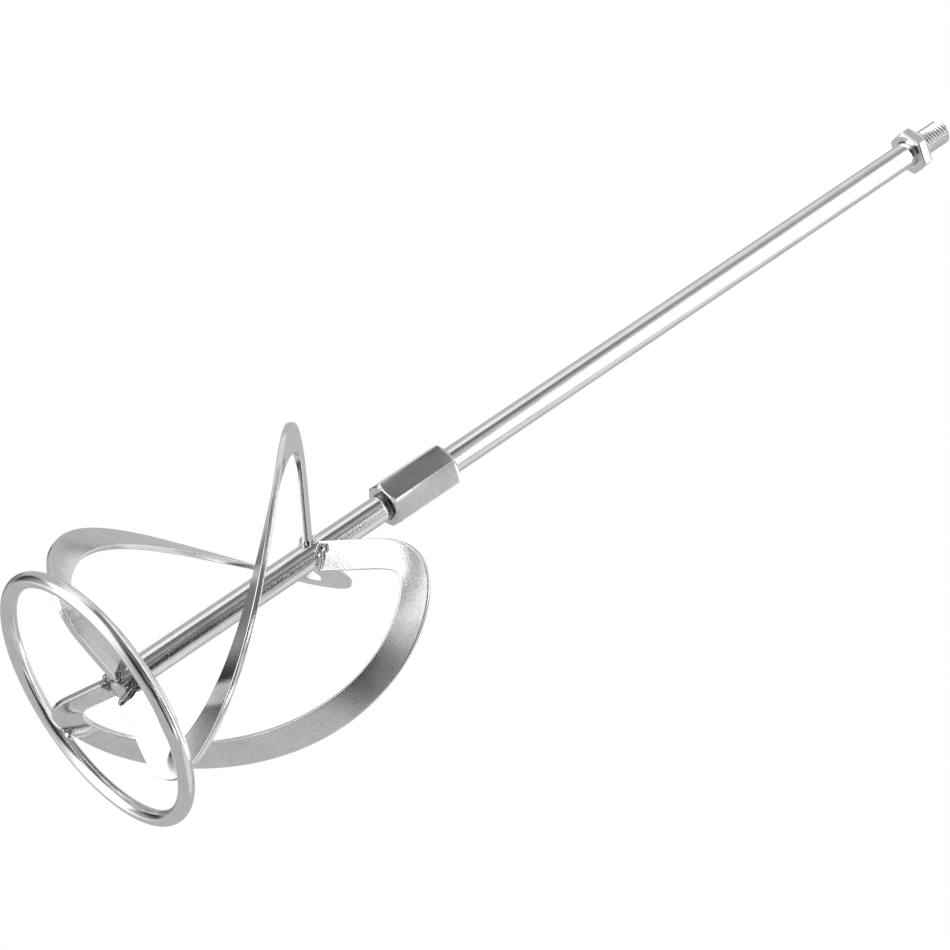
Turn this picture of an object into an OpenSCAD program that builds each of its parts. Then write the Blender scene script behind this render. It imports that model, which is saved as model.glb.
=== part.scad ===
// Mortar mixing paddle. Three bent strips are welded between a short shaft and a foot ring, and a
// long drive shaft screws on above them through a coupling nut. A threaded stud tops it.
// The origin is the middle of the foot ring's underside, and +Z runs up the shafts to the stud.

/* [Overall] */
// Length from the foot ring's underside to the stud's tip
overall_l = 600; // [480:1:760]
// Width across the three blades at their widest
blade_d = 160; // [130:1:195]
// Outside diameter of the foot ring
ring_d = 140; // [116:1:170]

/* [Shafts] */
// Diameter of both shafts, which is their thread's size too
shaft_d = 14; // [11.5:0.1:17]
// Pitch of the thread
thread_pitch = 2; // [1.5:0.25:2.5]
// How much smaller the free stud's crests are than the shaft, on the diameter
thread_relief = 0.2; // [0.1:0.05:0.4]
// Free length of the stud above the jam nut
stud_l = 21; // [16:0.5:30]
// Height of the lower shaft's bottom end
lower_end_z = 15; // [10:0.5:18]
// Bevel on the shaft ends
end_bevel = 1.5; // [0.5:0.1:2]

/* [Nuts] */
// Size across the flats of both nuts
nut_af = 22; // [20.5:0.5:27]
// Length of the coupling nut
coupling_l = 42; // [30:1:60]
// Height of the coupling nut's lower face
coupling_z = 187; // [183:1:240]
// Gap between the two shaft ends inside the coupling nut
shaft_gap = 2; // [1:0.5:4]
// Thickness of the jam nut
jam_nut_t = 7; // [5:0.5:11]
// Radial clearance between a nut's bore and the thread in it
thread_clearance = 0.05; // [0.02:0.01:0.08]
// Radial width of the countersink at each nut's mouth
mouth_w = 0.8; // [0.5:0.1:1.8]
// Slope of the bevel on the coupling nut's corners
coupling_bevel_angle = 30; // [15:1:35]
// Slope of the bevel on the jam nut's corners
jam_nut_bevel_angle = 16; // [10:1:35]
// Turn of the coupling nut's corners about the shaft
coupling_turn = 32; // [0:1:60]
// Turn of the jam nut's corners about the shaft
jam_nut_turn = 25; // [0:1:60]

/* [Foot ring] */
// Diameter of the ring's wire
ring_wire_d = 8; // [6:0.5:10]

/* [Blades] */
// Width of the strip
strip_w = 15; // [12:0.5:18]
// Thickness of the strip
strip_t = 3; // [2:0.1:4]
// Height where the upper arms meet the shaft
upper_root_z = 142; // [125:0.5:146]
// Radius of the upper corner
upper_corner_r = 49; // [40:0.5:60]
// Height of the upper corner
upper_corner_z = 166.5; // [150:0.5:172]
// Height where the lower arms meet the shaft
lower_root_z = 20; // [18:0.5:26]
// Turn of each blade about the shaft between its corners
blade_turn = 153; // [120:1:165]
// Angle of the upper arm of the first blade
first_angle = -57; // [-180:1:180]
// Reach of the bend at the upper corner
upper_bend = 24; // [18:1:28]
// Reach of the bend at the lower corner
lower_bend = 18; // [14:1:22]
// Turn of the lower arm about its length, away from lying flat in its corner's plane
foot_turn = 24; // [0:1:30]
// Share of the run over which the strip turns from each corner's plane to lie straight out
run_settle = 0.35; // [0.25:0.05:0.5]
// How much the run's fall eases off at both ends, from none to fully
run_ease = 0.7; // [0:0.05:1]

/* [Welds] */
// Gap between a blade's end and the shaft
root_gap = 0.2; // [0.1:0.05:0.4]
// Gap between a blade's edge and the ring's wire
ring_gap = 0.4; // [0.3:0.05:0.6]
// Height of the blades' lowest edge above the ring's underside
floor_gap = 0.5; // [0.2:0.1:1]
// Radius of the beads along a joint
bead_r = 2.4; // [1.8:0.1:3]
// Radius of the blob that ends a bead
blob_r = 3; // [2.2:0.1:3.6]

/* [Hidden] */
$fn = 64;
shaft_r = shaft_d / 2;
// A free thread is drawn at its crests, and one inside a nut at its pitch diameter
crest_r = (shaft_d - thread_relief) / 2;
pitch_drop = 0.6495;
engaged_r = (shaft_d - pitch_drop * thread_pitch) / 2;
nut_bore_r = engaged_r + thread_clearance;
nut_corner_r = nut_af / 2 / cos(30);
bevel_face_share = 0.95;
bevel_face_r = nut_af / 2 * bevel_face_share;
mouth_r = shaft_r + mouth_w;
coupling_top = coupling_z + coupling_l;
coupling_mid = coupling_z + coupling_l / 2;
jam_nut_top = overall_l - stud_l;
jam_nut_z = jam_nut_top - jam_nut_t;
cut_over = 1;

// Places along a root bead and of its blob around the shaft from the arm's middle, how far the blob
// sits above the arm, half the turn that a ring weld covers, and the facets around a bead
bead_sides = [-40, -20, 0, 20, 40];
bead_middle_r = shaft_r + bead_r / 3;
blob_side = -30;
blob_lift = 1;
ring_bead_step = 2.5;
bead_facets = 20;

wire_r = ring_wire_d / 2;
ring_r = ring_d / 2 - wire_r;
belly_r = (blade_d - strip_w) / 2;
root_lap = 1.5;
root_start_r = shaft_r - root_lap;
lower_angle = first_angle + blade_turn;
blade_angles = [0, -120, 120];

// Points along the run that the path is measured on, stations on the finished blade, and points
// on each side of a station that its bends are averaged over
run_steps = 48;
stations = 96;
taps = 10;

// The outer edge hangs this share of the strip's width below the lower corner's middle
edge_hang = 0.3;
lower_corner_z = floor_gap + strip_w * edge_hang;
// The lower corner starts this far inside the ring's wire, and is moved until ring_gap is met
trial_inset = 2.5;
gap_per_mm = 0.7;
seat_moves = 4;
lower_corner_r = seated_corner_r(ring_r - wire_r - strip_w / 2 - trial_inset, seat_moves);

function polar(r, angle, z) = [r * cos(angle), r * sin(angle), z];
function unit(v) = v / norm(v);
function clamp01(x) = min(max(x, 0), 1);
function sum(list, i = 0) = i == len(list) - 1 ? list[i] : list[i] + sum(list, i + 1);

// A point of the helical run between the corners, from 0 at the upper one to 1 at the lower one
function run_point(q, corner_r) =
    let (
        middle_r = (upper_corner_r + corner_r) / 2,
        r = upper_corner_r + (corner_r - upper_corner_r) * q + (belly_r - middle_r) * sin(180 * q),
        fall = (1 - run_ease) * q + run_ease * (1 - cos(180 * q)) / 2,
        z = upper_corner_z + (lower_corner_z - upper_corner_z) * fall
    )
    polar(r, first_angle + blade_turn * q, z);

// Where an arm that meets the shaft at root_z starts, just inside the shaft's surface
function arm_start(angle, root_z, corner_r, corner_z) =
    let (slope = (corner_z - root_z) / (corner_r - shaft_r))
    polar(root_start_r, angle, root_z + slope * (root_start_r - shaft_r));

// The unbent path: straight arm, run, straight arm
function sharp_path(corner_r) = [
    arm_start(first_angle, upper_root_z, upper_corner_r, upper_corner_z),
    for (i = [0:run_steps]) run_point(i / run_steps, corner_r),
    arm_start(lower_angle, lower_root_z, corner_r, lower_corner_z)
];

function distances(path) = [
    for (i = 0, s = 0; i < len(path); i = i + 1, s = i < len(path) ? s + norm(path[i] - path[i - 1]) : s) s
];

function outward(p) = unit([p.x, p.y, 0]);
function spot(tables, at) = [for (table = tables) lookup(at, table)];

// Direction of a strip's width where it runs along, flat in the plane of the bend from before to after
function flat_way(before, after, along) = unit(cross(along, cross(before, after)));

// The same direction where the strip is upright, and where it leans from upright
function upright_way(along, out) = unit([0, 0, along * out] - along.z * out);
function leaning_way(along, out, lean) =
    let (upright = upright_way(along, out))
    cos(lean) * upright + sin(lean) * cross(along, upright);
function lean_of(way, along, out) =
    let (upright = upright_way(along, out))
    atan2(way * cross(along, upright), way * upright);

// Directions at the path's two arms and at the run's two ends: upper arm, run, run, lower arm
function end_ways(path) =
    let (last = len(path) - 1)
    [for (i = [0, 1, last - 2, last - 1]) unit(path[i + 1] - path[i])];

// Directions of the strip's width along the run, flat with the arms at both ends
function run_ways(path) =
    let (
        ends = end_ways(path),
        last = len(path) - 1,
        upper_lean = lean_of(flat_way(ends[0], ends[1], ends[1]), ends[1], outward(path[1])),
        lower_lean = lean_of(flat_way(ends[2], ends[3], ends[2]), ends[2], outward(path[last - 1]))
    )
    [for (k = [1:last - 1])
        let (
            along = unit(path[min(k + 1, last - 1)] - path[max(k - 1, 1)]),
            q = (k - 1) / run_steps,
            lean = upper_lean * pow(clamp01(1 - q / run_settle), 2)
                + lower_lean * pow(clamp01(1 - (1 - q) / run_settle), 2)
        )
        leaning_way(along, outward(path[k]), lean)];

// The finished line of a blade: each station is a point and the direction of the strip's width,
// averaged over a stretch of the sharp path as long as the nearby bend
function blade_line(corner_r) =
    let (
        path = sharp_path(corner_r),
        ends = end_ways(path),
        last = len(path) - 1,
        s = distances(path),
        total = s[last],
        s_upper = s[1],
        s_lower = s[last - 1],
        upper_way = flat_way(ends[0], ends[1], ends[0]),
        lower_out = outward(path[last - 1]),
        flat_lean = lean_of(flat_way(ends[2], ends[3], ends[3]), ends[3], lower_out),
        lower_way = leaning_way(ends[3], lower_out, flat_lean + foot_turn),
        ways = run_ways(path),
        places = [for (axis = [0:2]) [for (k = [0:last]) [s[k], path[k][axis]]]],
        turns = [for (axis = [0:2]) [for (k = [1:last - 1]) [s[k], ways[k - 1][axis]]]],
        steps = [for (k = [-taps:taps]) k / (taps + 1)],
        shares = [for (step = steps) 1 - step * step],
        whole = sum(shares)
    )
    [for (station = [0:stations])
        let (
            here = total * station / stations,
            down = clamp01((here - s_upper) / (s_lower - s_upper)),
            reach = min(upper_bend + (lower_bend - upper_bend) * down, here, total - here),
            spots = [for (step = steps) here + reach * step],
            centre = shares * [for (at = spots) spot(places, at)] / whole,
            way = shares * [
                for (at = spots)
                    at < s_upper ? upper_way : at > s_lower ? lower_way : spot(turns, at)
            ]
        )
        [centre, way]];

// The four corners of the strip's section at each station of a blade's line
function blade_sections(line) = [
    for (k = [0:stations])
        let (
            centre = line[k][0],
            way = line[k][1],
            along = unit(line[min(k + 1, stations)][0] - line[max(k - 1, 0)][0]),
            across = unit(way - (way * along) * along),
            w = across * strip_w / 2,
            t = cross(along, across) * strip_t / 2
        )
        [centre + w + t, centre - w + t, centre - w - t, centre + w - t]
];

// Middle of the ring's wire beside a point
function wire_middle(p) = let (flat = ring_r * unit([p.x, p.y])) [flat.x, flat.y, wire_r];

// Distances from the lower half of a blade's outer corners to the middle of the ring's wire
function wire_distances(sections) = [
    for (i = [stations / 2:stations])
        min([for (p = [sections[i][0], sections[i][3]]) norm(p - wire_middle(p))])
];

// Radius of the lower corner after some moves towards its seat beside the ring's wire
function seated_corner_r(r, moves) =
    moves == 0 ? r : let (
        gap = min(wire_distances(blade_sections(blade_line(r)))) - wire_r
    )
    seated_corner_r(r + (gap - ring_gap) / gap_per_mm, moves - 1);

// The first blade's line and sections, and where it comes nearest to the ring, on the wire's surface
blade_middle = blade_line(lower_corner_r);
blade_shape = blade_sections(blade_middle);
wire_gaps = wire_distances(blade_shape);
near_section = blade_shape[stations / 2 + search(min(wire_gaps), wire_gaps)[0]];
near_edge = (near_section[0] + near_section[3]) / 2;
near_wire = wire_middle(near_edge);
ring_weld_at = near_wire + wire_r * unit(near_edge - near_wire);

// Fall of an arm's end around the shaft, for each millimetre sideways
function root_fall(way, angle) = -way.z / (way * polar(1, angle + 90, 0));
upper_fall = root_fall(blade_middle[0][1], first_angle);
lower_fall = root_fall(blade_middle[stations][1], lower_angle);

// A bar turned to a profile of radii and heights, closed along its axis
module turned_bar(profile) {
    last = len(profile) - 1;
    rotate_extrude()
        polygon([[0, profile[0].y], each profile, [0, profile[last].y]]);
}

// A hexagon nut with bevelled corners, a plain bore and a countersink at both mouths
module hex_nut(height, bevel_angle) {
    bevel_h = (nut_corner_r - bevel_face_r) * tan(bevel_angle);
    mouth_h = mouth_r - nut_bore_r;
    difference() {
        intersection() {
            cylinder(r = nut_corner_r, h = height, $fn = 6);
            turned_bar([
                [bevel_face_r, 0],
                [nut_corner_r, bevel_h],
                [nut_corner_r, height - bevel_h],
                [bevel_face_r, height]
            ]);
        }
        translate([0, 0, -cut_over])
            cylinder(r = nut_bore_r, h = height + 2 * cut_over);
        translate([0, 0, -cut_over])
            cylinder(r1 = mouth_r + cut_over, r2 = nut_bore_r, h = mouth_h + cut_over);
        translate([0, 0, height - mouth_h])
            cylinder(r1 = nut_bore_r, r2 = mouth_r + cut_over, h = mouth_h + cut_over);
    }
}

// A bead that follows an arm's end part of the way round the shaft, with a blob near its high end
module root_bead(angle, root_z, fall) {
    function place(side, lift) =
        polar(bead_middle_r, angle + side, root_z + lift - fall * shaft_r * sin(side));
    hull() {
        for (side = bead_sides)
            translate(place(side, 0))
                sphere(r = bead_r, $fn = bead_facets);
        translate(place(blob_side, blob_lift))
            sphere(r = blob_r, $fn = bead_facets);
    }
}

module drive_shaft() {
    bottom = coupling_mid + shaft_gap / 2;
    color("gainsboro")
        turned_bar([
            [engaged_r - end_bevel, bottom],
            [engaged_r, bottom + end_bevel],
            [engaged_r, coupling_top],
            [shaft_r, coupling_top],
            [shaft_r, jam_nut_z],
            [engaged_r, jam_nut_z],
            [engaged_r, jam_nut_top],
            [crest_r, jam_nut_top],
            [crest_r, overall_l - end_bevel],
            [crest_r - end_bevel, overall_l]
        ]);
}

module lower_shaft() {
    top = coupling_mid - shaft_gap / 2;
    color("gainsboro")
        turned_bar([
            [shaft_r - end_bevel, lower_end_z],
            [shaft_r, lower_end_z + end_bevel],
            [shaft_r, coupling_z],
            [engaged_r, coupling_z],
            [engaged_r, top - end_bevel],
            [engaged_r - end_bevel, top]
        ]);
}

module coupling_nut() {
    color("silver")
        translate([0, 0, coupling_z])
            rotate([0, 0, coupling_turn])
                hex_nut(coupling_l, coupling_bevel_angle);
}

module jam_nut() {
    color("silver")
        translate([0, 0, jam_nut_z])
            rotate([0, 0, jam_nut_turn])
                hex_nut(jam_nut_t, jam_nut_bevel_angle);
}

module bottom_ring() {
    color("darkgray")
        rotate_extrude()
            translate([ring_r, wire_r])
                circle(r = wire_r);
}

// One blade: the strip's sections joined up, with its two ends cut to the shaft's round
module blade(i) {
    corners = len(blade_shape[0]);
    end = stations * corners;
    sides = [
        for (s = [0:stations - 1], c = [0:corners - 1])
            let (
                a = s * corners + c,
                b = s * corners + (c + 1) % corners
            )
            each [[a, b, b + corners], [a, b + corners, a + corners]]
    ];
    start_face = [for (c = [corners - 1:-1:0]) c];
    end_face = [for (c = [0:corners - 1]) end + c];
    color("lightgray")
        rotate([0, 0, blade_angles[i]])
            difference() {
                polyhedron([for (section = blade_shape) each section], [start_face, end_face, each sides]);
                cylinder(r = shaft_r + root_gap, h = upper_corner_z + strip_w);
            }
}

module upper_root_weld(i) {
    color("whitesmoke")
        root_bead(first_angle + blade_angles[i], upper_root_z, upper_fall);
}

module lower_root_weld(i) {
    color("whitesmoke")
        root_bead(lower_angle + blade_angles[i], lower_root_z, lower_fall);
}

// A short bead along the ring where a blade's edge comes nearest to it
module ring_weld(i) {
    color("whitesmoke")
        hull()
            for (step = [-1:1])
                rotate([0, 0, blade_angles[i] + step * ring_bead_step])
                    translate(ring_weld_at)
                        sphere(r = bead_r, $fn = bead_facets);
}

drive_shaft();
jam_nut();
coupling_nut();
lower_shaft();
bottom_ring();
for (i = [0:2]) {
    blade(i);
    upper_root_weld(i);
    lower_root_weld(i);
    ring_weld(i);
}
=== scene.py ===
"""Mortar mixing paddle in bright plated steel: three strip blades welded between a short bar and a
foot ring, and a long threaded bar that screws on above them through a coupling nut.

Pieces are modelled in millimetres in the CAD frame and scaled to metres when they are kept."""
import bisect
import math
import random

import bmesh
import bpy
from mathutils import Matrix, Vector


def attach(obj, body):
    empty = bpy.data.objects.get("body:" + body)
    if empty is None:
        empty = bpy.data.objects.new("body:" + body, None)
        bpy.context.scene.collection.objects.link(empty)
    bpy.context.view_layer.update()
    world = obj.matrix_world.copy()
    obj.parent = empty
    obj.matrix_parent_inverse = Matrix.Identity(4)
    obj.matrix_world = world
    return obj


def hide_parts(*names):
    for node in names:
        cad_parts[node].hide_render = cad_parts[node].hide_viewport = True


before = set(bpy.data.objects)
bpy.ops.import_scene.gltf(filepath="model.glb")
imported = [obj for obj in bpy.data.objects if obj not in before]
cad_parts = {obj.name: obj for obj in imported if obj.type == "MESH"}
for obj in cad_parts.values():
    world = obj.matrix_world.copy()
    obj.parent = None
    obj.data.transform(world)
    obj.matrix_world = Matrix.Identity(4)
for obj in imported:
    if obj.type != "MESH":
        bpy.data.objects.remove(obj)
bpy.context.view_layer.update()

MM = 0.001
AXIS = (0, 0, 1)
ORIGIN = (0, 0, 0)
# Points nearer to each other than this are merged
MERGE = 0.002

# Bars, as the CAD has them
BAR_R = 7.0
BAR_FACETS = 96
LOWER_END_Z = 15.0
COUPLING_LOW, COUPLING_HIGH = 187.0, 229.0
BAR_GAP = 2.0
JAM_LOW, JAM_HIGH = 572.0, 579.0
STUD_TIP = 600.0
END_BEVEL = 1.5
# The lower bar's bevel is rounded by this much, and runs out over this much
END_ROUND, END_RUN = 0.15, 0.2
# Rows this near to an edge keep the shading of long flat faces even
STEADY = 0.6

# Thread of the bar ends, with its outline in shares of the pitch and of the depth
PITCH = 2.0
CREST_R, ROOT_R = 6.9, 5.75
THREAD_OUTLINE = ((0.0, 0.0), (0.10, 0.02), (0.17, 0.16), (0.40, 0.88), (0.45, 0.98), (0.50, 1.0),
                  (0.55, 0.98), (0.60, 0.88), (0.83, 0.16), (0.90, 0.02), (1.0, 0.0))
THREAD_FACETS = 64
SHOULDER_RUN = 0.5
# Thread that shows in front of the coupling nut and of the jam nut
COUPLING_SHOWS, JAM_SHOWS = 3.0, 0.8
# The thread's darker finish, painted shade, starts this far above the lower bar's plain part
SHADE_START = 0.4

# Nuts
NUT_FLATS = 22.0
NUT_FACE_R = NUT_FLATS / 2 * 0.95
NUT_BORE_R = 6.95
MOUTH_R = 7.8
COUPLING_SLOPE, JAM_SLOPE = 38.0, 16.0
COUPLING_TURN, JAM_TURN = 32.0, 25.0
CORNER_ROUND = 0.7
RIM_BEVEL = 0.16
NUT_STEADY = 2.0
COLUMNS_PER_CORNER = 24
CORNER_CROWDING = 2.2

# Foot ring
WIRE_R = 4.0
WIRE_FACETS = 40
RING_R = 66.0
RING_FACETS = 320

# Blades
STRIP_W, STRIP_T = 15.0, 3.0
EDGE_ROUND = 0.55
EDGE_SEGMENTS = 4
FLAT_CUTS = 7
UPPER_ROOT_Z, LOWER_ROOT_Z = 142.0, 20.0
UPPER_CORNER = (49.0, 166.5)
LOWER_CORNER = (51.5, 5.0)
BELLY_R = 72.5
BLADE_TURN = 153.0
FIRST_ANGLE = -57.0
LOWER_ANGLE = FIRST_ANGLE + BLADE_TURN
UPPER_BEND, LOWER_BEND = 24.0, 18.0
RUN_SETTLE = 0.35
FOOT_TURN = 24.0
RUN_EASE = 0.7
ROOT_START_R = 5.5
ROOT_CLEAR_R = 7.2
RUN_STEPS = 48
TAPS = 40
STATIONS = 192
BLADE_ANGLES = (0.0, -120.0, 120.0)

# Welds at the arms' ends
BEAD_R, BLOB_R = 2.0, 2.8
BEAD_MIDDLE_R = BAR_R + 0.7
BEAD_SPACING = 1.7
BEAD_HALF_TURN = 34.0
# How far a bead's middle lies from the strip's middle plane
BEAD_OUT, BLOB_OUT = 1.9, -1.4
BLOB_SIDE = -28.0
# Uneven sizes, as shares of the bead's radius, and wandering of its path
BEAD_SIZES = (0.78, 1.06)
BEAD_WANDER = 0.3
# Raised rim of the crater in a blob, and how far the crater looks down
RIM_BALLS = 11
RIM_R, RIM_BALL_R, RIM_LIFT = 1.9, 0.8, 2.3
CRATER_DIP = 0.6
# Welds on the ring, in degrees along it
RING_BEAD_STEPS = (-3.2, -1.6, 0, 1.6, 3.2)
RING_BEAD_SIZES = (1.0, 1.2)
RING_BEAD_LIFTS = (-0.2, 0.3)
BALL_ROUNDNESS = 3
WELD_VOXEL, WELD_ROUNDS = 0.25, 6

# Plating: how fine its patterns are, for each metre, and where pits and tones start and end
SPECKLE_SCALE, BLOTCH_SCALE, PIT_SCALE = 1700.0, 60.0, 330.0
PIT_EDGES = (0.68, 0.76)
TONE_EDGES = (0.30, 0.68)

# Surroundings: even level, and the tone that it and its patches are given
LEVEL = 0.58
DARKEST, BRIGHTEST = 0.12, 1.8
CONTRAST, GAIN = 1.75, 1.38
# Soft patches: direction round and up, radii where the edge starts and ends, all in degrees, and strength
PATCHES = (
    (-103, -39, 1, 37, -0.50),
    (-158, -39, 4, 47, 0.85),
    (139, -44, 1, 40, 0.56),
    (-63, 71, 41, 47, 1.34),
    (-134, 3, 26, 31, -0.20),
    (132, -23, 7, 26, -0.62),
    (-58, 10, 17, 23, -0.56),
    (3, 14, 22, 27, 0.16),
    (-71, 76, 37, 42, -1.20),
    (-168, 15, 16, 21, 0.28),
    (-87, 9, 19, 24, -0.28),
    (-52, -5, 3, 26, 0.76),
    (-71, 11, 3, 10, 1.16),
    (-55, -22, 18, 23, -0.66),
    (167, 46, 15, 20, 0.17),
    (170, -46, 11, 18, -0.15),
    (111, 8, 10, 15, -0.24),
    (-144, 29, 5, 15, -0.09),
    (-97, -59, 4, 11, 0.13),
)
WHITE = (1, 1, 1, 1)

# Floor, in metres: it starts to fade into the white behind it, and is gone
FLOOR_HALF = 5.0
FLOOR_FADES, FLOOR_ENDS = 0.8, 3.5
FLOOR_TONES = (0.80, 0.84)
FLOOR_MOTTLE, FLOOR_DETAIL = 3.0, 4.0

# Lamp that shades the floor, with angles in degrees
LAMP_ENERGY = 1.2
LAMP_SOFTNESS = 30
LAMP_TILT = (28, 18, 0)

# Camera, fitted to the photograph
CAMERA_AT = Vector((0.0, -1.62810, -0.63081))
CAMERA_RIGHT = Vector((0.55830, -0.39449, 0.72985))
CAMERA_UP = Vector((-0.82961, -0.25825, 0.49503))
CAMERA_LENS, CAMERA_SENSOR = 139.25, 36.0
CAMERA_REACH = 50.0


class Wire:
    """A shader socket. Arithmetic on it adds Math nodes."""

    def __init__(self, bench, socket):
        self.bench, self.socket = bench, socket

    def maths(self, operation, *values):
        return self.bench.node("ShaderNodeMath", {"operation": operation}, dict(enumerate(values)))

    def __add__(self, other):
        return self.maths("ADD", self, other)

    __radd__ = __add__

    def __sub__(self, other):
        return self.maths("SUBTRACT", self, other)

    def __rsub__(self, other):
        return self.maths("SUBTRACT", other, self)

    def __mul__(self, other):
        return self.maths("MULTIPLY", self, other)

    __rmul__ = __mul__

    def __pow__(self, other):
        return self.maths("POWER", self, other)

    def at_least(self, other):
        return self.maths("MAXIMUM", self, other)

    def at_most(self, other):
        return self.maths("MINIMUM", self, other)


class Bench:
    """A node tree, and the one way that nodes are added to it."""

    def __init__(self, tree):
        self.tree = tree
        tree.nodes.clear()

    def node(self, kind, settings=None, sockets=None, out=0):
        made = self.tree.nodes.new(kind)
        for name, value in (settings or {}).items():
            setattr(made, name, value)
        for name, value in (sockets or {}).items():
            if isinstance(value, Wire):
                self.tree.links.new(value.socket, made.inputs[name])
            else:
                made.inputs[name].default_value = value
        return Wire(self, made.outputs[out]) if made.outputs else None

    def noise(self, place, scale, detail, rough=0.5):
        sockets = {"Vector": place, "Scale": scale, "Detail": detail, "Roughness": rough}
        return self.node("ShaderNodeTexNoise", {}, sockets)

    def stretched(self, place, scale):
        return self.node("ShaderNodeMapping", {}, {"Vector": place, "Scale": scale})

    def ramp(self, value, low, high):
        sockets = {"Value": value, "From Min": low, "From Max": high}
        return self.node("ShaderNodeMapRange", {"interpolation_type": "SMOOTHSTEP"}, sockets)

    def blend(self, share, first, second):
        """A colour between two, by share."""
        sockets = {0: share, 6: first, 7: second}
        return self.node("ShaderNodeMix", {"data_type": "RGBA"}, sockets, out=2)


def grey(level):
    return (level, level, level, 1)


def plated_steel(name, tones, gloss, streaks, depths, from_strip=False):
    """Bright plating over steel: blotches in its tone, a fine frosted speckle, faint streaks along the
    piece and a few small pits. Tones are light and dark, streaks are counted for each metre along x, y
    and z, and depths in metres are the streaks' and the speckle's."""
    material = bpy.data.materials.new(name)
    material.use_nodes = True
    bench = Bench(material.node_tree)
    light, dark = tones
    streak_depth, speckle_depth = depths
    if from_strip:
        place = bench.node("ShaderNodeAttribute", {"attribute_name": "strip_place"}, out=1)
    else:
        place = bench.node("ShaderNodeTexCoord", out=3)
    speckle = bench.noise(place, SPECKLE_SCALE, 1.0)
    blotch = bench.noise(place, BLOTCH_SCALE, 3.0, 0.55)
    streak = bench.noise(bench.stretched(place, streaks), 1.0, 3.0, 0.6)
    pit = bench.ramp(bench.noise(place, PIT_SCALE, 2.0), *PIT_EDGES)
    tone = bench.ramp(blotch * 0.35 + streak * 0.15 + speckle * 0.5, *TONE_EDGES) * (1 - 0.5 * pit)
    roughness = gloss + 0.06 * (speckle - 0.5) + 0.05 * (blotch - 0.5) + 0.08 * pit
    height = speckle * speckle_depth + streak * streak_depth - pit * (0.6 * speckle_depth)
    bump = bench.node("ShaderNodeBump", {}, {"Strength": 1.0, "Distance": 1.0, "Height": height})
    shader = bench.node("ShaderNodeBsdfPrincipled", {}, {
        "Base Color": bench.blend(tone, grey(dark), grey(light)),
        "Metallic": 1.0,
        "Roughness": roughness,
        "Normal": bump,
    })
    bench.node("ShaderNodeOutputMaterial", {}, {"Surface": shader})
    return material


def studio():
    """Soft studio surroundings: an even level with soft brighter and darker patches. Plain white lies
    behind everything that the camera sees."""
    world = bpy.data.worlds.new("soft_studio")
    world.use_nodes = True
    bench = Bench(world.node_tree)
    way = bench.node("ShaderNodeTexCoord", out=0)
    light = LEVEL
    for turn, rise, inner, outer, strength in PATCHES:
        t, r = math.radians(turn), math.radians(rise)
        aim = (math.cos(r) * math.cos(t), math.cos(r) * math.sin(t), math.sin(r))
        facing = bench.node("ShaderNodeVectorMath", {"operation": "DOT_PRODUCT"},
                            {0: way, 1: aim}, out=1)
        share = bench.ramp(facing, math.cos(math.radians(outer)), math.cos(math.radians(inner)))
        light = strength * share + light
    seen = bench.node("ShaderNodeLightPath", out=0)
    light = (light.at_least(DARKEST) ** CONTRAST * GAIN).at_most(BRIGHTEST)
    backdrop = bench.node("ShaderNodeBackground", {}, {"Color": WHITE, "Strength": 1.0})
    around = bench.node("ShaderNodeBackground", {}, {"Color": WHITE, "Strength": light})
    both = bench.node("ShaderNodeMixShader", {}, {0: seen, 1: around, 2: backdrop})
    bench.node("ShaderNodeOutputWorld", {}, {"Surface": both})
    bpy.context.scene.world = world


def floor_finish():
    """Pale floor that shows only from above, because the photograph looks up from below it."""
    material = bpy.data.materials.new("pale_floor")
    material.use_nodes = True
    bench = Bench(material.node_tree)
    below = bench.node("ShaderNodeNewGeometry", out=6)
    place = bench.node("ShaderNodeTexCoord", out=3)
    away = bench.node("ShaderNodeVectorMath", {"operation": "LENGTH"}, {0: place}, out=1)
    gone = below.at_least(bench.ramp(away, FLOOR_FADES, FLOOR_ENDS))
    tone = bench.noise(place, FLOOR_MOTTLE, FLOOR_DETAIL)
    colour = bench.blend(tone, *[grey(level) for level in FLOOR_TONES])
    paint = bench.node("ShaderNodeBsdfDiffuse", {}, {"Color": colour})
    clear = bench.node("ShaderNodeBsdfTransparent")
    both = bench.node("ShaderNodeMixShader", {}, {0: gone, 1: paint, 2: clear})
    bench.node("ShaderNodeOutputMaterial", {}, {"Surface": both})
    return material


def added(name, data):
    """A new object in the scene."""
    made = bpy.data.objects.new(name, data)
    bpy.context.scene.collection.objects.link(made)
    return made


def as_mesh(name, bm):
    mesh = bpy.data.meshes.new(name)
    bm.to_mesh(mesh)
    bm.free()
    return mesh


def keep(name, bm, finish, node, body, sharp=35):
    """Merges a modelled piece, turns its faces outwards, scales it and hangs it on its body in place
    of its node."""
    bmesh.ops.remove_doubles(bm, verts=bm.verts, dist=MERGE)
    bmesh.ops.recalc_face_normals(bm, faces=bm.faces)
    bmesh.ops.scale(bm, vec=(MM, MM, MM), verts=bm.verts)
    mesh = as_mesh(name, bm)
    mesh.shade_smooth()
    mesh.set_sharp_from_angle(angle=math.radians(sharp))
    mesh.materials.append(finish)
    piece = added(name, mesh)
    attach(piece, body)
    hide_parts(node)
    return piece


def paint_thread_shade(piece, finish, low):
    """Gives the thread above a height a darker finish of its own: painted shade where it runs into the
    coupling nut.
    """
    piece.data.materials.append(finish)
    for face in piece.data.polygons:
        if face.center.z > low * MM:
            face.material_index = 1


def drawn(bm, outline, closed=False):
    """Draws an outline of (radius, height) beside the shaft's axis. Gives its points and lines."""
    points = [bm.verts.new((r, 0, z)) for r, z in outline]
    ends = points[1:] + points[:1] if closed else points[1:]
    return points, [bm.edges.new(pair) for pair in zip(points, ends)]


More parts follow.
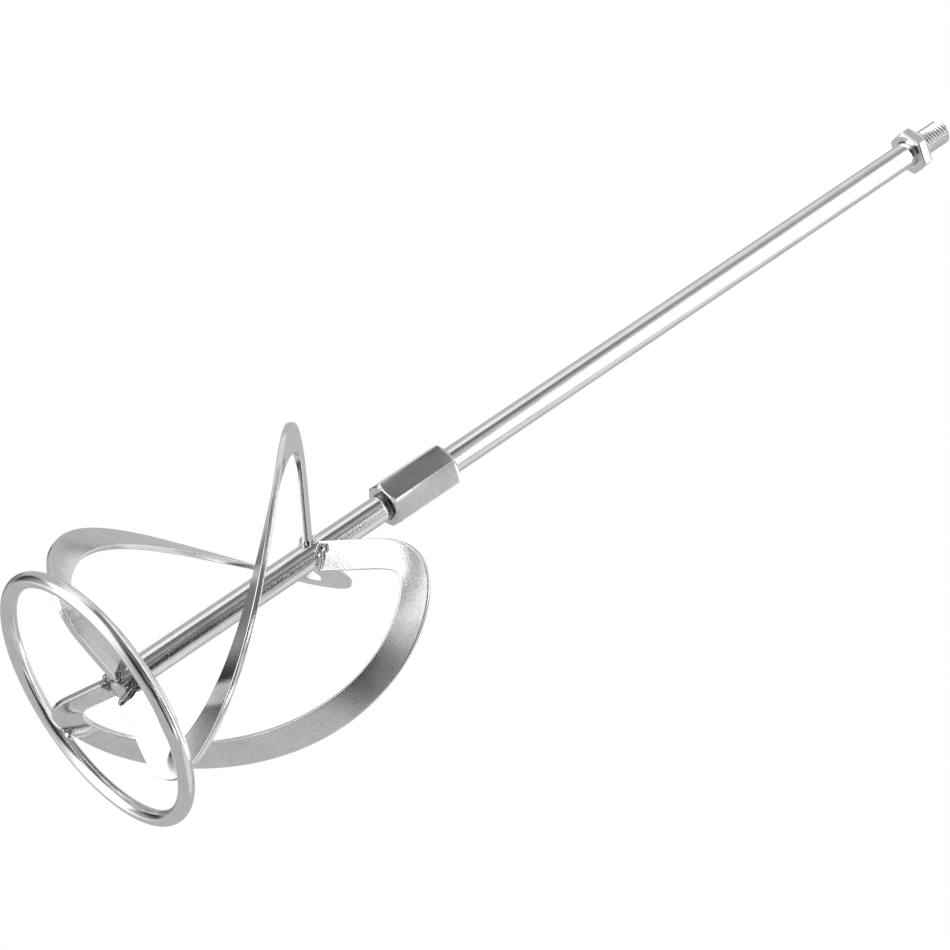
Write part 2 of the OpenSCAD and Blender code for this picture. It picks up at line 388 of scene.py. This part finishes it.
def turned(bm, points, lines, facets):
    """Turns a drawn outline about the shaft's axis."""
    bmesh.ops.spin(bm, geom=points + lines, cent=ORIGIN, axis=AXIS, angle=math.tau,
                   steps=facets, use_merge=True)
    bmesh.ops.remove_doubles(bm, verts=bm.verts, dist=MERGE)


def open_rim(bm, height):
    """The open edges that lie at a height."""
    return [e for e in bm.edges
            if e.is_boundary and all(abs(v.co.z - height) < 0.01 for v in e.verts)]


def cut_thread(bm, low, high, shoulder, tip):
    """A rolled thread from low to high. It runs out to full width at the shoulder's height, and the
    tip's end is bevelled and closed."""
    made = bmesh.new()
    depth = CREST_R - ROOT_R
    start = low - 2 * PITCH
    points, lines = drawn(made, [(ROOT_R + depth * h, start + PITCH * z) for z, h in THREAD_OUTLINE])
    bmesh.ops.spin(made, geom=points + lines, cent=ORIGIN, axis=AXIS,
                   dvec=(0, 0, PITCH / THREAD_FACETS), angle=math.tau, steps=THREAD_FACETS)
    one_turn = made.verts[:] + made.edges[:] + made.faces[:]
    for k in range(1, math.ceil((high - low) / PITCH) + 3):
        copied = bmesh.ops.duplicate(made, geom=one_turn)["geom"]
        moved = [g for g in copied if isinstance(g, bmesh.types.BMVert)]
        bmesh.ops.translate(made, verts=moved, vec=(0, 0, k * PITCH))
    bmesh.ops.remove_doubles(made, verts=made.verts, dist=MERGE)
    for height, side in ((low, "clear_inner"), (high, "clear_outer")):
        everything = made.verts[:] + made.edges[:] + made.faces[:]
        bmesh.ops.bisect_plane(made, geom=everything, dist=0.0005, plane_co=(0, 0, height),
                               plane_no=AXIS, **{side: True})
    for v in made.verts:
        r = v.co.xy.length
        fullest = CREST_R - max(0.0, END_BEVEL - abs(tip - v.co.z))
        leanest = CREST_R - abs(shoulder - v.co.z) * depth / (2 * SHOULDER_RUN)
        v.co.xy *= max(min(r, fullest), leanest) / r
    bmesh.ops.edgeloop_fill(made, edges=open_rim(made, tip))
    mesh = as_mesh("thread", made)
    bm.from_mesh(mesh)
    bpy.data.meshes.remove(mesh)


def close_shoulder(bm, bar_end, thread_end):
    bmesh.ops.bridge_loops(bm, edges=open_rim(bm, bar_end) + open_rim(bm, thread_end))


def drive_bar():
    """The long bar, threaded into the coupling nut at its foot and for the machine at its top."""
    bm = bmesh.new()
    foot = (COUPLING_LOW + COUPLING_HIGH + BAR_GAP) / 2
    low, high = COUPLING_HIGH, JAM_LOW - JAM_SHOWS
    outline = [(BAR_R, z) for z in (low, low + STEADY, high - STEADY, high)]
    turned(bm, *drawn(bm, outline), BAR_FACETS)
    cut_thread(bm, foot, low - SHOULDER_RUN, low - SHOULDER_RUN, foot)
    cut_thread(bm, high + SHOULDER_RUN, STUD_TIP, high + SHOULDER_RUN, STUD_TIP)
    close_shoulder(bm, low, low - SHOULDER_RUN)
    close_shoulder(bm, high, high + SHOULDER_RUN)
    return bm


def lower_bar():
    """The short bar that carries the blades, threaded into the coupling nut at its top."""
    bm = bmesh.new()
    tip = (COUPLING_LOW + COUPLING_HIGH - BAR_GAP) / 2
    high = COUPLING_LOW - COUPLING_SHOWS
    bevel_r, bevel_top = BAR_R - END_BEVEL, LOWER_END_Z + END_BEVEL
    outline = [(0, LOWER_END_Z), (bevel_r - END_ROUND, LOWER_END_Z),
               (bevel_r + END_ROUND, LOWER_END_Z + END_ROUND), (BAR_R - END_ROUND, bevel_top - END_ROUND),
               (BAR_R, bevel_top + END_RUN), (BAR_R, bevel_top + STEADY),
               (BAR_R, high - STEADY), (BAR_R, high)]
    turned(bm, *drawn(bm, outline), BAR_FACETS)
    cut_thread(bm, high + SHOULDER_RUN, tip, high + SHOULDER_RUN, tip)
    close_shoulder(bm, high, high + SHOULDER_RUN)
    return bm


def hexagon(angle):
    """Radius of the hexagon at an angle from a corner, in degrees, with its corners rounded."""
    half_side = math.radians(30)
    off = math.radians(abs((angle + 30) % 60 - 30))
    middle = (NUT_FLATS / 2 - CORNER_ROUND) / math.cos(half_side)
    touch = math.atan2(CORNER_ROUND / 2, middle + CORNER_ROUND * math.cos(half_side))
    if off > touch:
        return NUT_FLATS / 2 / math.cos(half_side - off)
    return middle * math.cos(off) + math.sqrt(CORNER_ROUND ** 2 - (middle * math.sin(off)) ** 2)


def hex_nut(low, high, turn, slope):
    """A hexagon nut: a turned outline whose outer rows are pushed out to the hexagon."""
    bm = bmesh.new()
    row = bm.verts.layers.int.new("row")
    mouth_h = MOUTH_R - NUT_BORE_R
    height = high - low
    # Radius, height and whether the row is a rim to be bevelled
    mouth = [(NUT_BORE_R, mouth_h, False), (MOUTH_R, 0, True), (MOUTH_R + STEADY, 0, False),
             (NUT_FACE_R - STEADY, 0, False), (NUT_FACE_R, 0, True)]
    side = [(NUT_FLATS, 0, True), (NUT_FLATS, NUT_STEADY, False)]
    upper = [(r, height - z, rim) for r, z, rim in reversed(mouth + side)]
    outline = mouth + side + upper
    points, lines = drawn(bm, [(r, z) for r, z, rim in outline], closed=True)
    for i, v in enumerate(points):
        v[row] = i
    turned(bm, points, lines, 6 * COLUMNS_PER_CORNER)
    for v in bm.verts:
        angle = math.degrees(math.atan2(v.co.y, v.co.x))
        off = (angle + 30) % 60 - 30
        crowded = math.copysign(30 * (abs(off) / 30) ** CORNER_CROWDING, off)
        r, z = v.co.xy.length, v.co.z
        if r > MOUTH_R + NUT_FACE_R:
            r = hexagon(crowded)
            bevel = (r - NUT_FACE_R) * math.tan(math.radians(slope))
            z = min(max(z, bevel), height - bevel)
        at = math.radians(angle - off + crowded + turn)
        v.co = (r * math.cos(at), r * math.sin(at), low + z)
    rims = [e for e in bm.edges
            if e.verts[0][row] == e.verts[1][row] and outline[e.verts[0][row]][2]]
    bmesh.ops.bevel(bm, geom=rims, offset=RIM_BEVEL, offset_type="OFFSET", segments=2, profile=0.5,
                    affect="EDGES", material=-1, clamp_overlap=True)
    return bm


def foot_ring():
    """Round wire bent to a circle, lying on the floor."""
    bm = bmesh.new()
    wire = bmesh.ops.create_circle(bm, cap_ends=False, radius=WIRE_R, segments=WIRE_FACETS)["verts"]
    bmesh.ops.rotate(bm, verts=wire, cent=ORIGIN, matrix=Matrix.Rotation(math.pi / 2, 3, "X"))
    bmesh.ops.translate(bm, verts=wire, vec=(RING_R, 0, WIRE_R))
    bmesh.ops.spin(bm, geom=bm.verts[:] + bm.edges[:], cent=ORIGIN, axis=AXIS, angle=math.tau,
                   steps=RING_FACETS, use_merge=True)
    return bm


def polar(r, angle, z):
    a = math.radians(angle)
    return Vector((r * math.cos(a), r * math.sin(a), z))


def run_point(q):
    """A point of the helical run between a blade's corners, from 0 at the upper to 1 at the lower."""
    (upper_r, upper_z), (lower_r, lower_z) = UPPER_CORNER, LOWER_CORNER
    swell = (BELLY_R - (upper_r + lower_r) / 2) * math.sin(math.pi * q)
    fall = (1 - RUN_EASE) * q + RUN_EASE * (1 - math.cos(math.pi * q)) / 2
    return polar(upper_r + (lower_r - upper_r) * q + swell, FIRST_ANGLE + BLADE_TURN * q,
                 upper_z + (lower_z - upper_z) * fall)


def arm_start(angle, root_z, corner):
    """Where an arm's middle line starts inside the bar."""
    slope = (corner[1] - root_z) / (corner[0] - BAR_R)
    return polar(ROOT_START_R, angle, root_z + slope * (ROOT_START_R - BAR_R))


def flat_way(before, after, along):
    """Direction of a strip's width where it lies flat in the plane of a bend."""
    return along.cross(before.cross(after)).normalized()


def upright_way(along, out):
    return (Vector((0, 0, along.dot(out))) - along.z * out).normalized()


def leaning_way(along, out, lean):
    """Direction of a strip's width where it leans from upright by an angle."""
    upright = upright_way(along, out)
    return math.cos(lean) * upright + math.sin(lean) * along.cross(upright)


def lean_of(way, along, out):
    upright = upright_way(along, out)
    return math.atan2(way.dot(along.cross(upright)), way.dot(upright))


def outward(point):
    return Vector((point.x, point.y, 0)).normalized()


def settling(q):
    """How much of a corner's lean is left in the run, at a share of its length from that corner."""
    return max(1 - q / RUN_SETTLE, 0) ** 2


def blade_line():
    """Stations along a blade: distance, centre, direction, width direction and thickness direction.
    The sharp path of arm, run and arm is averaged over each bend, and so is the width's direction,
    which lies flat in each corner's plane and settles to straight out along the run."""
    run = [run_point(i / RUN_STEPS) for i in range(RUN_STEPS + 1)]
    path = [arm_start(FIRST_ANGLE, UPPER_ROOT_Z, UPPER_CORNER), *run,
            arm_start(LOWER_ANGLE, LOWER_ROOT_Z, LOWER_CORNER)]
    reached = [0.0]
    for a, b in zip(path, path[1:]):
        reached.append(reached[-1] + (b - a).length)
    total, s_upper, s_lower = reached[-1], reached[1], reached[-2]
    last = len(path) - 1
    arm, start, end, foot = [(path[i + 1] - path[i]).normalized() for i in (0, 1, last - 2, last - 1)]
    first_out, last_out = outward(run[0]), outward(run[-1])
    upper_way = flat_way(arm, start, arm)
    foot_lean = lean_of(flat_way(end, foot, foot), foot, last_out) + math.radians(FOOT_TURN)
    lower_way = leaning_way(foot, last_out, foot_lean)
    upper_lean = lean_of(flat_way(arm, start, start), start, first_out)
    lower_lean = lean_of(flat_way(end, foot, end), end, last_out)
    ways = []
    for i, point in enumerate(run):
        along = (run[min(i + 1, RUN_STEPS)] - run[max(i - 1, 0)]).normalized()
        q = i / RUN_STEPS
        lean = upper_lean * settling(q) + lower_lean * settling(1 - q)
        ways.append(leaning_way(along, outward(point), lean))
    ways = [upper_way, *ways, lower_way]

    def at(s):
        """The path's point and the width's direction at a distance along it."""
        i = min(max(bisect.bisect_right(reached, s) - 1, 0), last - 1)
        share = (s - reached[i]) / (reached[i + 1] - reached[i])
        point = path[i].lerp(path[i + 1], share)
        if i == 0:
            return point, upper_way
        if i == last - 1:
            return point, lower_way
        return point, ways[i].lerp(ways[i + 1], share)

    steps = [k / (TAPS + 1) for k in range(-TAPS, TAPS + 1)]
    shares = [1 - step * step for step in steps]
    centres, widths = [], []
    for i in range(STATIONS + 1):
        s = total * i / STATIONS
        down = min(max((s - s_upper) / (s_lower - s_upper), 0), 1)
        reach = min(UPPER_BEND + (LOWER_BEND - UPPER_BEND) * down, s, total - s)
        centre, width = Vector(), Vector()
        for step, share in zip(steps, shares):
            point, way = at(s + reach * step)
            centre += share * point
            width += share * way
        centres.append(centre / sum(shares))
        widths.append(width)
    stations = []
    for i, (centre, width) in enumerate(zip(centres, widths)):
        along = (centres[min(i + 1, STATIONS)] - centres[max(i - 1, 0)]).normalized()
        across = (width - width.dot(along) * along).normalized()
        stations.append((total * i / STATIONS, centre, along, across, along.cross(across)))
    return stations


def to_bar(point, along):
    """Moves a point of a blade's end along the blade until it clears the bar."""
    flat, way = point.xy, along.xy
    a, b, c = way.dot(way), flat.dot(way), flat.dot(flat) - ROOT_CLEAR_R ** 2
    if c >= 0:
        return point
    return point + along * (-b + math.sqrt(b * b - a * c)) / a


def blade(line, turn):
    """A rounded strip section drawn out along the blade's stations, with its ends fitted to the bar."""
    bm = bmesh.new()
    place = bm.verts.layers.float_vector.new("strip_place")
    w, t = STRIP_W / 2, STRIP_T / 2
    corners = [bm.verts.new(p) for p in ((w, t, 0), (-w, t, 0), (-w, -t, 0), (w, -t, 0))]
    bm.faces.new(corners)
    bmesh.ops.bevel(bm, geom=corners, offset=EDGE_ROUND, offset_type="OFFSET", segments=EDGE_SEGMENTS,
                    profile=0.5, affect="VERTICES", material=-1)
    flats = [e for e in bm.edges if e.calc_length() > STRIP_T]
    bmesh.ops.subdivide_edges(bm, edges=flats, cuts=FLAT_CUTS)
    flat = w - EDGE_ROUND
    for v in bm.verts:
        # Columns crowd towards the edges, which keeps the flat's shading even
        if abs(v.co.x) < flat:
            v.co.x = math.copysign(flat * (1 - (1 - abs(v.co.x) / flat) ** 2), v.co.x)
        v[place] = v.co
    end, section = bm.faces[:], bm.verts[:]
    for i, (s, centre, along, across, through) in enumerate(line):
        if i:
            grown = bmesh.ops.extrude_face_region(bm, geom=end)["geom"]
            end = [g for g in grown if isinstance(g, bmesh.types.BMFace)]
            section = [g for g in grown if isinstance(g, bmesh.types.BMVert)]
        for v in section:
            u, h = v[place].x, v[place].y
            v.co = centre + across * u + through * h
            if i in (0, STATIONS):
                v.co = to_bar(v.co, along if i == 0 else -along)
            v[place] = (u, h, s)
    for v in bm.verts:
        v[place] = v[place] * MM
    bmesh.ops.rotate(bm, verts=bm.verts, cent=ORIGIN,
                     matrix=Matrix.Rotation(math.radians(turn), 3, "Z"))
    return bm


def blobs(places):
    """Overlapping balls of weld metal, from (centre, radius)."""
    bm = bmesh.new()
    for centre, r in places:
        bmesh.ops.create_icosphere(bm, subdivisions=BALL_ROUNDNESS, radius=r,
                                   matrix=Matrix.Translation(centre))
    return bm


def flowed(piece):
    """Runs the balls of a weld together into one bead."""
    joined = piece.modifiers.new("run_together", "REMESH")
    joined.mode = "VOXEL"
    joined.voxel_size = WELD_VOXEL * MM
    joined.use_smooth_shade = True
    eased = piece.modifiers.new("ease", "SMOOTH")
    eased.factor, eased.iterations = 0.5, WELD_ROUNDS


def root_bead(angle, root_z, fall, dice):
    """Weld metal run along both faces of an arm's end, with a cratered blob near its high side."""
    slant = math.hypot(1, fall)

    def spot(side, out, r):
        """A place round the bar, beside the strip's end by side and off its middle plane by out."""
        sideways = math.degrees(out * fall / slant / BAR_R)
        z = root_z - fall * BAR_R * math.sin(math.radians(side)) + out / slant
        return polar(r, angle + side + sideways, z)

    places = []
    steps = math.ceil(2 * math.radians(BEAD_HALF_TURN) * BAR_R * slant / BEAD_SPACING)
    for out in (-BEAD_OUT, BEAD_OUT):
        for k in range(steps + 1):
            side = BEAD_HALF_TURN * (2 * k / steps - 1)
            r = BEAD_R * dice.uniform(*BEAD_SIZES)
            off = out + dice.uniform(-BEAD_WANDER, BEAD_WANDER)
            middle_r = BEAD_MIDDLE_R + dice.uniform(-BEAD_WANDER, BEAD_WANDER)
            places.append((spot(side, off, middle_r), r))
    blob = spot(BLOB_SIDE, BLOB_OUT, BEAD_MIDDLE_R)
    places.append((blob, BLOB_R))
    facing = (outward(blob) - Vector(AXIS) * CRATER_DIP).normalized()
    along = facing.cross(Vector(AXIS)).normalized()
    for k in range(RIM_BALLS):
        turn = Matrix.Rotation(math.tau * k / RIM_BALLS, 3, facing)
        places.append((blob + facing * RIM_LIFT + turn @ along * RIM_R, RIM_BALL_R))
    return blobs(places)


def root_fall(across, angle):
    """Fall of an arm's end around the bar, for each millimetre sideways."""
    return -across.z / across.dot(polar(1, angle + 90, 0))


def ring_touch(line):
    """Where the first blade's edge comes nearest to the ring, on the wire's surface."""
    best = None
    for s, centre, along, across, through in line[STATIONS // 2:]:
        edge = centre + across * STRIP_W / 2
        flat = edge.xy.normalized() * RING_R
        middle = Vector((flat.x, flat.y, WIRE_R))
        if best is None or (edge - middle).length < best[0]:
            best = ((edge - middle).length, middle + (edge - middle).normalized() * WIRE_R)
    return best[1]


def ring_bead(touch, turn, dice):
    """Weld metal run along the ring where a blade's corner meets it."""
    places = []
    for step in RING_BEAD_STEPS:
        spot = Matrix.Rotation(math.radians(turn + step), 3, "Z") @ touch
        lifted = spot + Vector((0, 0, dice.uniform(*RING_BEAD_LIFTS)))
        places.append((lifted, BEAD_R * dice.uniform(*RING_BEAD_SIZES)))
    return blobs(places)


# Finishes
bar_finish = plated_steel("plated_bar", (0.90, 0.70), 0.10, (500, 500, 12), (4e-6, 2.4e-5))
nut_finish = plated_steel("plated_nut", (0.88, 0.72), 0.12, (300, 300, 500), (3e-6, 1.6e-5))
strip_finish = plated_steel("plated_strip", (0.92, 0.70), 0.10, (400, 400, 40), (3e-6, 2.8e-5),
                            from_strip=True)
ring_finish = plated_steel("plated_ring", (0.88, 0.70), 0.10, (400, 400, 400), (4e-6, 2.2e-5))
weld_finish = plated_steel("plated_weld", (0.88, 0.66), 0.09, (500, 500, 500), (8e-6, 1.2e-5))
# Near-black weld metal for the lower roots between the blades: painted shade
shaded_weld_finish = plated_steel("painted_shade_weld", (0.46, 0.06), 0.07, (200, 200, 200), (8e-6, 1.2e-5))
# Darker finish for the thread under the coupling nut: painted shade
shaded_thread_finish = plated_steel("painted_shade_thread", (0.44, 0.14), 0.12, (500, 500, 500), (4e-6, 1.6e-5))

# Bars, nuts and ring
keep("drive_bar", drive_bar(), bar_finish, "drive_shaft", "shaft")
carrier = keep("lower_bar", lower_bar(), bar_finish, "lower_shaft", "paddle_head")
# The thread below the coupling nut gets painted shade
paint_thread_shade(carrier, shaded_thread_finish, COUPLING_LOW - COUPLING_SHOWS + SHADE_START)
long_nut = hex_nut(COUPLING_LOW, COUPLING_HIGH, COUPLING_TURN, COUPLING_SLOPE)
thin_nut = hex_nut(JAM_LOW, JAM_HIGH, JAM_TURN, JAM_SLOPE)
keep("coupling_hex", long_nut, nut_finish, "coupling_nut", "coupling")
keep("thin_hex", thin_nut, nut_finish, "jam_nut", "locknut")
keep("foot_ring", foot_ring(), ring_finish, "bottom_ring", "paddle_head")

# Blades and their welds
dice = random.Random(7)
line = blade_line()
touch = ring_touch(line)
upper_fall, lower_fall = root_fall(line[0][3], FIRST_ANGLE), root_fall(line[-1][3], LOWER_ANGLE)
for i, turn in enumerate(BLADE_ANGLES, 1):
    keep(f"blade_strip_{i}", blade(line, turn), strip_finish, f"blade_{i}", "paddle_head",
         sharp=40)
    upper = root_bead(FIRST_ANGLE + turn, UPPER_ROOT_Z, upper_fall, dice)
    lower = root_bead(LOWER_ANGLE + turn, LOWER_ROOT_Z, lower_fall, dice)
    foot = ring_bead(touch, turn, dice)
    # The lower welds take the painted shade finish; the upper and ring welds keep the plain weld finish
    for name, bm, node, finish in (("upper_bead", upper, "upper_root_weld", weld_finish),
                                   ("lower_bead", lower, "lower_root_weld", shaded_weld_finish),
                                   ("ring_bead", foot, "ring_weld", weld_finish)):
        flowed(keep(f"{name}_{i}", bm, finish, f"{node}_{i}", "paddle_head", sharp=180))

# Floor
bm = bmesh.new()
bmesh.ops.create_grid(bm, x_segments=1, y_segments=1, size=FLOOR_HALF)
floor = added("floor", as_mesh("floor", bm))
floor.data.materials.append(floor_finish())
floor.visible_glossy = False
floor.visible_shadow = False

# Light
studio()
lamp_data = bpy.data.lights.new("floor_lamp", "SUN")
lamp_data.energy = LAMP_ENERGY
lamp_data.angle = math.radians(LAMP_SOFTNESS)
lamp = added("floor_lamp", lamp_data)
lamp.rotation_euler = [math.radians(tilt) for tilt in LAMP_TILT]
lamp.visible_glossy = False

# Camera
camera_data = bpy.data.cameras.new("photo_camera")
camera_data.lens = CAMERA_LENS
camera_data.sensor_width = CAMERA_SENSOR
camera_data.clip_end = CAMERA_REACH
camera = added("photo_camera", camera_data)
back = CAMERA_RIGHT.cross(CAMERA_UP)
axes = Matrix((CAMERA_RIGHT, CAMERA_UP, back)).transposed().to_4x4()
camera.matrix_world = Matrix.Translation(CAMERA_AT) @ axes
bpy.context.scene.camera = camera
bpy.context.scene.view_settings.view_transform = "Standard"
